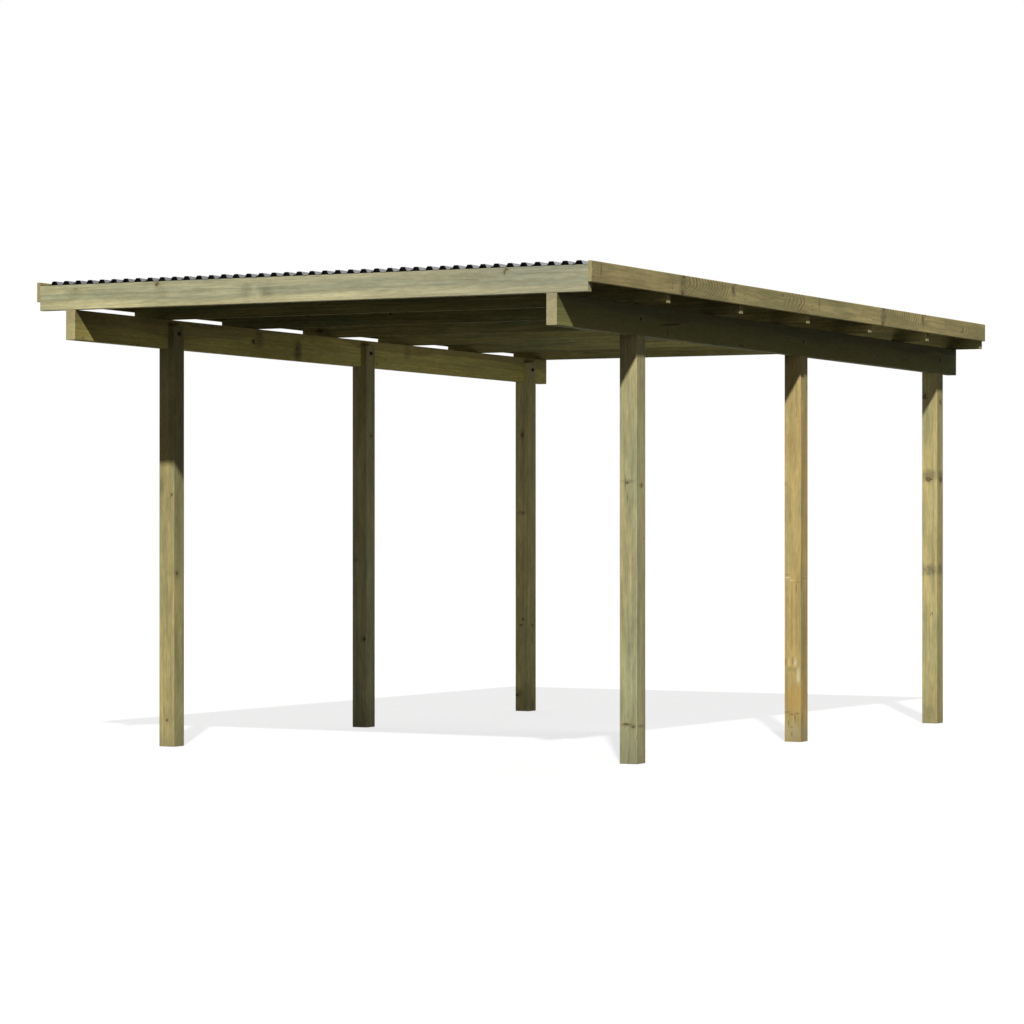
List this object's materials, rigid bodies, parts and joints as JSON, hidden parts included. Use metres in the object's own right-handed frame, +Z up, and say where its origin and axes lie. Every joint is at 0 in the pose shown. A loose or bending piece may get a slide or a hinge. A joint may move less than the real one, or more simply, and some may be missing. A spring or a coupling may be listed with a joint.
{
  "type": "timber carport",
  "caption": "Open timber carport: square posts with notched heads carry two beams, purlins across them and a slightly falling roof of dark trapezoid sheets between barge boards.",
  "frame": {"origin": "on the ground under the middle of the roof", "axes": "+Y to the rear, along the parking bay; +X to the right seen from the front; +Z up"},
  "size_m": [3.038, 4.8028, 2.295],
  "materials": {
    "post_timber": "planed, pressure-treated, green-beige",
    "beam_timber": "planed, pressure-treated, green-beige",
    "purlin_timber": "planed, pressure-treated, green-beige",
    "barge_timber": "planed, pressure-treated, green-beige",
    "roof_sheet": "semi-matt black",
    "fastener": "dulled, dark with weather"
  },
  "bodies": {
    "root": {"post_front_left": "post_timber", "post_middle_left": "post_timber", "post_rear_left": "post_timber", "post_front_right": "post_timber", "post_middle_right": "post_timber", "post_rear_right": "post_timber", "beam_left": "beam_timber", "beam_right": "beam_timber", "purlin_front": "purlin_timber", "purlin_2": "purlin_timber", "purlin_3": "purlin_timber", "purlin_4": "purlin_timber", "purlin_5": "purlin_timber", "purlin_6": "purlin_timber", "purlin_rear": "purlin_timber", "barge_board_front_left": "barge_timber", "barge_board_rear_left": "barge_timber", "barge_board_front_right": "barge_timber", "barge_board_rear_right": "barge_timber", "roof_sheet_left": "roof_sheet", "roof_sheet_middle": "roof_sheet", "roof_sheet_right": "roof_sheet"}
  },
  "joints": []
}
